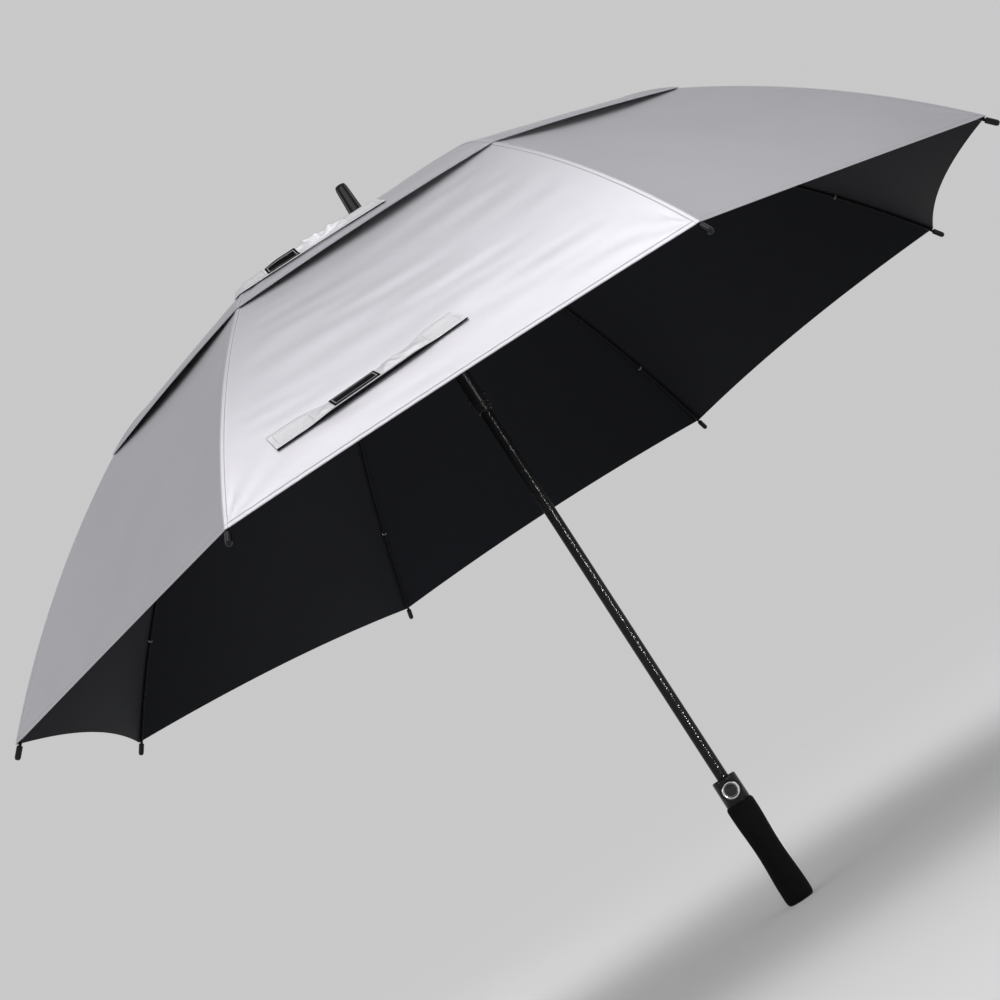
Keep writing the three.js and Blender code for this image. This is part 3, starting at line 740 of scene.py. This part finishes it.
def strap_piece(strap, name, share, on_label=False, step=0.002):
    """A strap over a share (from, to) of its length, or the label that lies on it there."""
    length = strap_length(strap)
    rows = max(4, round((share[1] - share[0]) * length / step))
    t, v = np.meshgrid(np.linspace(*share, rows + 1), STRAP_COLUMNS, indexing="ij")
    along = t * length
    between = between_ends(along, length, PLAIN_END, PLAIN_END)
    if on_label:
        half_width, thickness, materials = LABEL_HALF_WIDTH, LABEL_THICKNESS, (LABEL_CLOTH, LABEL_CLOTH)
        down, stand = LABEL_SHIFT + v * half_width, strap["stand"] + STRAP_THICKNESS + LABEL_GAP
        first, last = share[0] * length, share[1] * length
    else:
        half_width, thickness, materials = STRAP_HALF_WIDTH, STRAP_THICKNESS, (STRAP_CLOTH, LINING)
        down, stand = v * half_width + STRAP_GATHER * between * (1 - v) / 2, strap["stand"]
        first, last = 0.0, length
    distance, turn = strap_line(strap, t, END_SKEW * down / STRAP_HALF_WIDTH / length)
    point, normal = canopy_surface(distance + down, turn, strap["layer"])
    towards_edge = math.copysign(1, strap["lift"]) * down / STRAP_HALF_WIDTH
    rise = abs(strap["lift"]) * smooth_step((towards_edge + 0.6) / 1.6) * (0.35 + 0.65 * between)
    creases = stand + crumple(strap, along, down, length)
    below = creases if strap["lift"] > 0 and not on_label else creases + rise
    edge = np.sqrt(np.minimum(1 - np.abs(v), ROUND_EDGE) / ROUND_EDGE)
    outer = point + normal * (creases + rise + thickness * (0.55 + 0.45 * edge))[..., None]
    inner = point + normal * below[..., None]
    from_end = np.minimum(along - first, last - along)
    # The underside is the black lining of the doubled cloth. The rim along the lower edge takes the lining
    # too, as painted shade along that edge.
    return slab_piece(name, outer, inner, np.stack([v * half_width, from_end], -1), materials, last_edge=1)


def lay_strap(piece, strap, stand_off):
    """Attaches a strap piece to rib 1's outer length, and gives it its own mesh unless stand_off is None."""
    stand_in(piece, "rib_end_1", strap["name"])
    if stand_off is not None:
        fold_in(piece)


def build_strap(strap):
    """A strap with its label. Where it is parted, its first length keeps the mesh it was made with."""
    name, part, label = strap["name"], strap["part"], strap["label"]
    lengths = [((part, 1.0), STRAP_OFF_PLEAT)]
    if part > 0:
        lengths.insert(0, ((0.0, part), None))
    for n, (share, stand_off) in enumerate(lengths, 1):
        piece = strap_piece(strap, f"{name}_{n}", share)
        lay_strap(piece, strap, stand_off)
    piece = strap_piece(strap, f"{name}_label", label, on_label=True)
    lay_strap(piece, strap, LABEL_OFF_PLEAT)


for closing_strap in STRAPS:
    build_strap(closing_strap)

# ---- Turned, carved and bent pieces ----


def joined(*shells):
    """Points and faces of several shells as one."""
    points, faces = [], []
    for shell_points, shell_faces in shells:
        first = sum(len(p) for p in points)
        points.append(np.asarray(shell_points, float))
        faces.extend(tuple(first + corner for corner in face) for face in shell_faces)
    return np.concatenate(points), faces


def tube_shell(rings, capped=True):
    """A shell through equal rings of points."""
    count, sides = rings.shape[:2]
    k = np.arange(sides)
    after = (k + 1) % sides
    faces = []
    for i in range(count - 1):
        here, there = i * sides, (i + 1) * sides
        faces.extend(zip(here + k, here + after, there + after, there + k))
    if capped:
        faces.append(tuple(k[::-1]))
        faces.append(tuple((count - 1) * sides + k))
    return rings.reshape(-1, 3), [tuple(int(c) for c in face) for face in faces]


def turned_shell(outline, sides=96, flutes=0, depth=0.0):
    """A shell turned about +Z from (radius, height) points, with upright flutes if asked."""
    radius, height = np.array(outline, float).T
    angle = 2 * math.pi * np.arange(sides) / sides
    round_share = 1 - depth * np.abs(np.sin(flutes * angle / 2)) if flutes else np.ones(sides)
    x = radius[:, None] * (np.cos(angle) * round_share)[None]
    y = radius[:, None] * (np.sin(angle) * round_share)[None]
    return tube_shell(np.stack([x, y, np.repeat(height[:, None], sides, 1)], -1), capped=False)


def eased(outline, reach, steps=5):
    """An outline of (r, z) points with its inner corners rounded off."""
    corners = [np.array(p, float) for p in outline]
    points = [corners[0]]
    for before, corner, after in zip(corners, corners[1:], corners[2:]):
        sides = [other - corner for other in (before, after)]
        lengths = [np.linalg.norm(side) for side in sides]
        start, end = (corner + side * min(reach, length / 2) / length for side, length in zip(sides, lengths))
        for t in np.linspace(0, 1, steps + 1):
            points.append((1 - t) ** 2 * start + 2 * t * (1 - t) * corner + t**2 * end)
    points.append(corners[-1])
    return points


def box_shell(low, high):
    (x0, y0, z0), (x1, y1, z1) = low, high
    rings = np.array([[(x0, y0, z), (x1, y0, z), (x1, y1, z), (x0, y1, z)] for z in (z0, z1)], float)
    return tube_shell(rings)


def bar_shell(radius, start, end, sides=16):
    """A round bar between two points."""
    start, end = np.array(start, float), np.array(end, float)
    along = Vector(end - start).normalized()
    side = np.array(along.orthogonal().normalized())
    other = np.cross(np.array(along), side)
    angle = 2 * math.pi * np.arange(sides) / sides
    ring = radius * (np.cos(angle)[:, None] * side + np.sin(angle)[:, None] * other)
    return tube_shell(np.stack([start + ring, end + ring]))


def solid_piece(name, shell, materials, degrees=35):
    """A piece from a shell whose doubled points are merged, with its faces turned outwards."""
    points, faces = shell
    piece = mesh_piece(name, points, faces, materials)
    sheets = bmesh.new()
    sheets.from_mesh(piece.data)
    bmesh.ops.remove_doubles(sheets, verts=sheets.verts, dist=1e-7)
    bmesh.ops.dissolve_degenerate(sheets, dist=1e-7, edges=sheets.edges)
    bmesh.ops.recalc_face_normals(sheets, faces=sheets.faces)
    sheets.to_mesh(piece.data)
    sheets.free()
    return crisp(piece, degrees)


def carved(piece, tools, bevel=0.0, add=()):
    """The piece with some shells joined to it and others cut out of it, and its sharp edges eased."""
    made = []
    for operation, shells in (("UNION", add), ("DIFFERENCE", tools)):
        for shell in shells:
            tool = solid_piece("tool", shell, ())
            made.append(tool)
            step = piece.modifiers.new("carve", "BOOLEAN")
            step.operation, step.object, step.solver = operation, tool, "EXACT"
    if bevel:
        ease = piece.modifiers.new("ease", "BEVEL")
        ease.width, ease.segments, ease.limit_method, ease.angle_limit = bevel, 3, "ANGLE", math.radians(40)
    mesh = bpy.data.meshes.new_from_object(piece.evaluated_get(bpy.context.evaluated_depsgraph_get()))
    piece.modifiers.clear()
    piece.data = mesh
    for tool in made:
        bpy.data.objects.remove(tool)
    return crisp(piece, 40)


def span(name, axis=2):
    """The lowest and highest place of a CAD node along an axis."""
    return [corner[axis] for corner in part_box(name)]


SHAFT = 0.007
SHAFT_BORE = 0.0058
SLIDE = SHAFT + 0.00035
SHAFT_LOW, SHAFT_HIGH = span("shaft_tube")
SLOT_HALF_WIDTH = 0.0016
SLOT_LOW, SLOT_HIGH = 0.2081, 0.704


def build_shaft():
    outline = [(SHAFT_BORE, SHAFT_LOW), (SHAFT, SHAFT_LOW), (SHAFT, SHAFT_HIGH), (SHAFT_BORE, SHAFT_HIGH),
               (SHAFT_BORE, SHAFT_LOW)]
    tube = solid_piece("shaft", turned_shell(outline, 64), (SHAFT_COAT,))
    slot = box_shell((-SLOT_HALF_WIDTH, 0.001, SLOT_LOW), (SLOT_HALF_WIDTH, SHAFT + 0.002, SLOT_HIGH))
    stand_in(carved(tube, [slot]), "shaft", "shaft_tube")


FERRULE_SKIRT = 0.0091
FERRULE_END = 0.0069
FLUTES = 8
FLUTE_DEPTH = 0.13


def build_ferrule():
    low, high = span("ferrule")
    socket = SHAFT_HIGH + 0.001
    skirt_top, end_low = low + 0.0045, high - 0.0035
    skirt = eased([(SLIDE, low), (FERRULE_SKIRT, low), (FERRULE_SKIRT, skirt_top - 0.001),
                   (0.0085, skirt_top), (0.0076, skirt_top)], 0.0006)
    end = eased([(0.0060, end_low), (FERRULE_END, end_low), (0.0067, high - 0.001), (0.0058, high),
                 (0.0, high)], 0.0012)
    inside = [(0.0, socket), (SLIDE, socket), (SLIDE, low)]
    sunk_low, sunk_high = skirt_top - 0.0002, end_low + 0.0002
    flutes = [(0.0070, sunk_low), (0.0089, sunk_low), (0.0073, sunk_high), (0.0055, sunk_high),
              (0.0070, sunk_low)]
    shells = joined(turned_shell(skirt + end + inside), turned_shell(flutes, 240, FLUTES, FLUTE_DEPTH))
    piece = solid_piece("ferrule_cup", shells, (GLOSS_BLACK,), 30)
    stand_in(piece, "shaft", "ferrule")


def build_washer():
    low, high = span("canopy_washer")
    outline = eased([(SLIDE, low), (0.011, low), (0.0106, high), (SLIDE, high), (SLIDE, low)], 0.0004)
    piece = solid_piece("washer", turned_shell(outline), (GLOSS_BLACK,))
    stand_in(piece, "shaft", "canopy_washer")


HEAD = 0.0155
HINGE_SLOT, HINGE_SLOT_FROM, HINGE_SLOT_TO = 0.0015, 0.0093, 0.024
HINGE_WIRE = 0.0008


def slots_and_wire(pivot_height, low, high):
    """The slots of a hinge head and the ring of hinge wire that crosses them."""
    slots = []
    for rib in range(1, RIBS + 1):
        slot = box_shell((HINGE_SLOT_FROM, -HINGE_SLOT, low), (HINGE_SLOT_TO, HINGE_SLOT, high))
        slots.append(in_rib_plane(slot, rib))
    reach = CROWN_RADIUS / math.cos(HALF_PANEL)
    corners = [(reach * math.cos(a), reach * math.sin(a), pivot_height)
               for a in FIRST_RIB + HALF_PANEL + PANEL * np.arange(RIBS + 1)]
    wire = joined(*(bar_shell(HINGE_WIRE, a, b, 12) for a, b in zip(corners, corners[1:])))
    return slots, wire


def add_shell(piece, shell):
    """The piece with one more loose shell in its mesh."""
    extra = solid_piece("extra", shell, tuple(piece.data.materials))
    sheets = bmesh.new()
    sheets.from_mesh(piece.data)
    sheets.from_mesh(extra.data)
    sheets.to_mesh(piece.data)
    sheets.free()
    bpy.data.objects.remove(extra)
    return crisp(piece, 40)


def build_hub():
    z = CROWN_PIVOT[1]
    outline = eased([(SLIDE, z - 0.010), (0.010, z - 0.010), (HEAD, z - 0.006), (HEAD, z + 0.0036),
                     (SLIDE, z + 0.0036), (SLIDE, z - 0.010)], 0.0007)
    slots, wire = slots_and_wire(z, z - 0.012, z + 0.0024)
    hub = carved(solid_piece("hub", turned_shell(outline, 80), (SATIN_BLACK,)), slots)
    stand_in(add_shell(hub, wire), "shaft", "crown_hub")


SLEEVE_LIP = 0.0086
SLEEVE = 0.0089
SLEEVE_NECK = 0.0104
SLEEVE_RING = 0.0095
RING_HEIGHTS = (0.004, 0.009)
NUB, NUB_HEIGHT, NUB_FROM, NUB_TO = 0.0019, 0.020, 0.0080, 0.0118
DRIVE_PIN, DRIVE_PIN_HEIGHT = 0.0012, 0.700


def build_runner():
    low, z = span("runner")[0], RUNNER_PIVOT[1]
    outline = eased([(SLIDE, low), (SLEEVE_LIP, low), (SLEEVE, low + 0.003), (SLEEVE, z - 0.028),
                     (SLEEVE_NECK, z - 0.024), (SLEEVE_NECK, z - 0.012), (HEAD, z - 0.006), (HEAD, z + 0.004),
                     (SLIDE, z + 0.004), (SLIDE, low)], 0.0007)
    slots, wire = slots_and_wire(z, z - 0.0024, z + 0.006)
    runner = carved(solid_piece("runner_sleeve", turned_shell(outline, 80), (SATIN_BLACK,)), slots)
    nubs = [bar_shell(NUB, (x * NUB_FROM, 0, low + NUB_HEIGHT), (x * NUB_TO, 0, low + NUB_HEIGHT), 24)
            for x in (-1, 1)]
    pin = bar_shell(DRIVE_PIN, (0, 0.002, DRIVE_PIN_HEIGHT), (0, SLIDE + 0.0007, DRIVE_PIN_HEIGHT))
    rings = []
    for foot in (low + height for height in RING_HEIGHTS):
        ring = [(SLEEVE_LIP, foot), (SLEEVE_RING, foot + 0.0004), (SLEEVE_RING, foot + 0.0016),
                (SLEEVE_LIP, foot + 0.002), (SLEEVE_LIP, foot)]
        rings.append(turned_shell(eased(ring, 0.0003), 80))
    stand_in(add_shell(runner, joined(wire, pin, *nubs, *rings)), "runner", "runner")


# ---- Handle ----

BUTTON_HEIGHT = 0.144
BUTTON = 0.0103
BUTTON_BOSS = 0.0128
WELL = BUTTON + 0.0004
COLLAR_FACE = -0.0154
WELL_FLOOR = -0.0081
DISH = 0.0070
DISH_RIM, DISH_DEPTH = 0.0027, 0.0009


def build_collar():
    low, high = span("handle_collar")
    outline = [(SLIDE, low), (0.0148, low), (0.015, low + 0.0006), (0.0147, high - 0.0016),
               (0.0141, high - 0.0004), (0.0132, high), (SLIDE, high), (SLIDE, low)]
    z = BUTTON_HEIGHT
    boss = bar_shell(BUTTON_BOSS, (0, COLLAR_FACE, z), (0, WELL_FLOOR - 0.0004, z), 96)
    well = bar_shell(WELL, (0, 2 * COLLAR_FACE, z), (0, WELL_FLOOR, z), 96)
    collar = solid_piece("collar", turned_shell(outline, 96), (GLOSS_BLACK,))
    stand_in(carved(collar, [well], 0.0003, [boss]), "shaft", "handle_collar")


def build_button():
    """The button's ring and its dish, turned about the button's axis and laid along Y."""
    back = -span("release_button", 1)[1]
    ring = eased([(0.0, 0.0), (BUTTON, 0.0), (BUTTON, 0.0042), (0.0092, 0.0050), (0.0080, 0.0046),
                  (0.0072, 0.0030), (0.0068, 0.0026)], 0.0005)
    dish = [(r, DISH_RIM - DISH_DEPTH * (1 - (r / DISH) ** 2)) for r in np.linspace(DISH, 0.0, 14)]
    for name, outline, material in (("button_ring", ring, CHROME), ("button_dish", dish, DISH_BLACK)):
        points, faces = turned_shell(outline, 128)
        points = np.stack([points[:, 0], -points[:, 2] - back, points[:, 1] + BUTTON_HEIGHT], -1)
        stand_in(solid_piece(name, (points, faces), (material,)), "button", "release_button")


GRIP = 0.0161
GRIP_SWELL = 0.0009
GRIP_WAVE = 0.104
GRIP_WAVE_START = 0.014


def build_grip():
    high = span("grip")[1]
    height = np.linspace(0.006, high - 0.003, 60)
    radius = GRIP + GRIP_SWELL * np.cos(2 * math.pi * (height - GRIP_WAVE_START) / GRIP_WAVE)
    butt = eased([(0.0, 0.0), (0.0144, 0.0), (0.0163, 0.0022), (radius[0], height[0])], 0.0014, 8)
    top = eased([(radius[-1], height[-1]), (0.0156, high), (SLIDE, high), (SLIDE, SHAFT_LOW - 0.0003),
                 (0.0, SHAFT_LOW - 0.0003)], 0.0008)
    outline = butt + list(zip(radius[1:-1], height[1:-1])) + top
    piece = solid_piece("grip_foam", turned_shell(outline, 128), (FOAM,))
    stand_in(piece, "shaft", "grip")


# ---- Springs ----

DRIVE_COIL = dict(radius=0.0042, wire=0.0007, turns=30)
BUTTON_COIL = dict(radius=0.003, wire=0.00035, turns=3)


def coil_shell(length, radius, wire, turns, sides=8, steps=20):
    """A helical spring along +Z, from 0 to length."""
    angle = np.linspace(0, 2 * math.pi * turns, turns * steps + 1)[:, None]
    around = np.linspace(0, 2 * math.pi, sides, endpoint=False)
    reach = radius + wire * np.cos(around)
    height = wire + (length - 2 * wire) * angle / angle[-1] + wire * np.sin(around)
    return tube_shell(np.stack([reach * np.cos(angle), reach * np.sin(angle), height], -1))


def build_springs():
    """The drive spring under the runner's pin, and the button's spring, each with a mesh of its own."""
    low, high = span("drive_spring")
    points, faces = coil_shell(high - low, **DRIVE_COIL)
    drive = solid_piece("drive_coil", (points + (0, 0, low), faces), (STEEL,))
    stand_in(drive, "shaft", "drive_spring")
    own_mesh(drive)
    low, high = span("button_spring", 1)
    points, faces = coil_shell(high - low, **BUTTON_COIL)
    points = points[:, [0, 2, 1]] + (0, low, BUTTON_HEIGHT)
    button = solid_piece("button_coil", (points, faces), (STEEL,))
    stand_in(button, "shaft", "button_spring")
    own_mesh(button)


# ---- Ribs and stretchers ----

ROD_IN_CAP = 0.012
ROD_FROM_PIVOT = 0.0085
TONGUE = 0.0095
TONGUE_HALF_THICKNESS = 0.0012
FORK_PLATE = 0.0010
JOINT_PLATE = 0.0021
HALF_PIN = 0.0036
CAP = 0.0033


def rod_shell(start, end, first, last, sides=14, step=0.006):
    """A rod along the rib line, under the cloth, from one radius to another."""
    distance = np.linspace(start, end, max(2, round((end - start) / step)) + 1)
    radius = np.linspace(first, last, len(distance))
    angle = 2 * math.pi * np.arange(sides) / sides
    rise = -RIB_BELOW_FABRIC + radius[:, None] * np.cos(angle)[None]
    r, z, _ = rib_line(np.repeat(distance[:, None], sides, 1), rise)
    return tube_shell(np.stack([r, radius[:, None] * np.sin(angle)[None], z], -1))


def plate_shell(place, slope, y0, y1, length, half, steps=10):
    """A plate from a round end about a pivot. Its length runs at the slope below level."""
    turn = np.linspace(math.pi / 2, 3 * math.pi / 2, steps)
    u = np.concatenate([half * np.cos(turn), [length, length]])
    v = np.concatenate([half * np.sin(turn), [-half, half]])
    x = place[0] + u * math.cos(slope) + v * math.sin(slope)
    z = place[1] - u * math.sin(slope) + v * math.cos(slope)
    return tube_shell(np.stack([np.stack([x, np.full(len(x), y), z], -1) for y in (y0, y1)]))


def tongue(place, slope, half_thickness, length, half):
    return plate_shell(place, slope, -half_thickness, half_thickness, length, half)


def fork(place, slope, inside, length, half):
    """Two plates with a gap of twice inside."""
    lows = (-inside - FORK_PLATE, inside)
    return joined(*(plate_shell(place, slope, y, y + FORK_PLATE, length, half) for y in lows))


def rib_shells():
    """The shells of a rib's inner and outer lengths, in the rib's plane."""
    slope = float(rib_line(JOINT_DISTANCE)[2])
    pivot = distance_at(CROWN_RADIUS, -RIB_BELOW_FABRIC)
    inner = joined(rod_shell(pivot + ROD_FROM_PIVOT, JOINT_DISTANCE - 0.005, INNER_ROD, INNER_ROD),
                   tongue(CROWN_PIVOT, CROWN_SLOPE, TONGUE_HALF_THICKNESS, TONGUE, 0.0020),
                   tongue(RIB_JOINT, slope + math.pi, 0.0010, 0.008, JOINT_PLATE))
    outer = joined(rod_shell(JOINT_DISTANCE + 0.0065, TIP + ROD_IN_CAP, OUTER_ROD, 0.0017),
                   fork(RIB_JOINT, slope, 0.0013, 0.010, JOINT_PLATE))
    return inner, outer


def stretcher_shell():
    """A stretcher between its two pivots, with its pin and spacer, in the rib's plane."""
    across, drop = RIB_JOINT[0] - RUNNER_PIVOT[0], RIB_JOINT[1] - RUNNER_PIVOT[1]
    length = math.hypot(across, drop)
    slope = math.pi - math.atan2(drop, across)
    reach = np.array([math.cos(slope), 0, -math.sin(slope)])
    joint = np.array([RIB_JOINT[0], 0, RIB_JOINT[1]])
    spacer, half_pin = joint + 0.0185 * reach, np.array([0, HALF_PIN, 0])
    return joined(bar_shell(STRETCHER_ROD, joint + 0.018 * reach, joint + (length - ROD_FROM_PIVOT) * reach),
                  fork(RIB_JOINT, slope, HALF_PIN - FORK_PLATE, 0.020, STRETCHER_ROD),
                  tongue(RUNNER_PIVOT, slope + math.pi, TONGUE_HALF_THICKNESS, TONGUE, 0.0019),
                  bar_shell(HINGE_WIRE, joint - half_pin, joint + half_pin),
                  bar_shell(0.0017, spacer - half_pin, spacer + half_pin))


def cap_shell():
    """A tip cap, in the rib's plane, along the rib's slope at its tip."""
    r, z, slope = rib_line(TIP, -RIB_BELOW_FABRIC)
    outline = [(0.0018, 0.0008), (CAP, 0.0008), (CAP, 0.0135), (0.0022, 0.0157), (0.0, CAP_LENGTH)]
    points, faces = turned_shell(eased(outline, 0.0008), 32)
    side, y, along = points.T
    sine, cosine = math.sin(slope), math.cos(slope)
    return np.stack([r + along * cosine + side * sine, y, z - along * sine + side * cosine], -1), faces


TIE_DISTANCE = 0.612
TIE_RADIUS = 0.0028
TIE_THREAD = 0.00025
TIE_PITCH = 0.0012


def tie_shell():
    """Two turns of thread that tie the seam to its rib, in the rib's plane."""
    turns = []
    angle = 2 * math.pi * np.arange(25) / 24
    for n in (-1, 1):
        place = np.full(25, TIE_DISTANCE + n * TIE_PITCH / 2)
        r, z, _ = rib_line(place, -RIB_BELOW_FABRIC + TIE_RADIUS * np.cos(angle))
        middle = np.stack([r, TIE_RADIUS * np.sin(angle), z], -1)
        turns.extend(bar_shell(TIE_THREAD, a, b, 8) for a, b in zip(middle, middle[1:]))
    return joined(*turns)


def build_ribs():
    inner, outer = rib_shells()
    # piece, body, CAD node, shell, material, slot
    kinds = (
        ("rod_inner", "rib", "rib_inner", inner, RIB_BLACK, "rib_black"),
        ("rod_outer", "rib_end", "rib_outer", outer, RIB_BLACK, "rib_black"),
        ("arm", "stretcher", "stretcher", stretcher_shell(), RIB_BLACK, "rib_black"),
        ("cap", "rib_end", "tip_cap", cap_shell(), GLOSS_BLACK, "gloss_black"),
    )
    for rib in range(1, RIBS + 1):
        for name, body, cad, shell, material, slot in kinds:
            piece = solid_piece(f"{name}_{rib}", in_rib_plane(shell, rib), (material,))
            stand_in(piece, f"{body}_{rib}", f"{cad}_{rib}")
        tie = solid_piece(f"rib_tie_{rib}", in_rib_plane(tie_shell(), rib), (THREAD,))
        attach(tie, f"rib_end_{rib}")


build_shaft()
build_ferrule()
build_washer()
build_hub()
build_runner()
build_collar()
build_button()
build_grip()
build_springs()
build_ribs()

# ---- Floor and light ----

FLOOR_SIZE = 800
SKY = 0.58
OVERHEAD_SUN = 0.2
MOTTLE = 0.005


def floor():
    """A plain pale floor that is as bright as the sky in the sun's and the sky's light."""
    tone = SKY / (SKY + OVERHEAD_SUN / math.pi)
    made = Surface("floor", Roughness=1.0, Specular_IOR_Level=0.0)
    cloudy = made.noise(made.object_place(), 2.0, 3.0)
    made.link(made.shade(cloudy, (tone * (1 - MOTTLE),) * 3, (tone * (1 + MOTTLE),) * 3), "Base Color")
    half = FLOOR_SIZE / 2
    corners = [(-half, -half, 0), (half, -half, 0), (half, half, 0), (-half, half, 0)]
    return mesh_piece("floor", corners, [(0, 1, 2, 3)], [made.material])


def light(name, kind, place, aim, power, **settings):
    """A light at place that shines towards aim."""
    lamp = bpy.data.lights.new(name, kind)
    lamp.energy = power
    for key, value in settings.items():
        setattr(lamp, key, value)
    made = bpy.data.objects.new(name, lamp)
    made.location = place
    made.rotation_mode = "QUATERNION"
    made.rotation_quaternion = (Vector(aim) - Vector(place)).to_track_quat("-Z", "Y")
    scene.collection.objects.link(made)


floor()
light("overhead", "SUN", (0, -0.3, 3), (0, 0, 0.75), OVERHEAD_SUN, angle=math.radians(50))
light("key", "AREA", (0.05, -1.05, 2.4), (0, -0.5, 0.7), 5.8, shape="DISK", size=1.3)
light("strip", "AREA", (1.3, -2.2, 0.75), (0, 0, 0.42), 0.75, shape="RECTANGLE", size=0.07, size_y=0.7,
      spread=math.radians(20), use_shadow=False)
for name, place in (("side_left", (-3.2, -1.6, 2.0)), ("side_right", (3.2, -1.8, 2.0))):
    light(name, "AREA", place, (0, 0, 0.5), 8, shape="RECTANGLE", size=1.0, size_y=1.4)

world = bpy.data.worlds.new("studio")
world.use_nodes = True
background = world.node_tree.nodes["Background"].inputs
background["Color"].default_value = (SKY, SKY, SKY, 1)
background["Strength"].default_value = 1.0
scene.world = world
scene.view_settings.view_transform = "Standard"
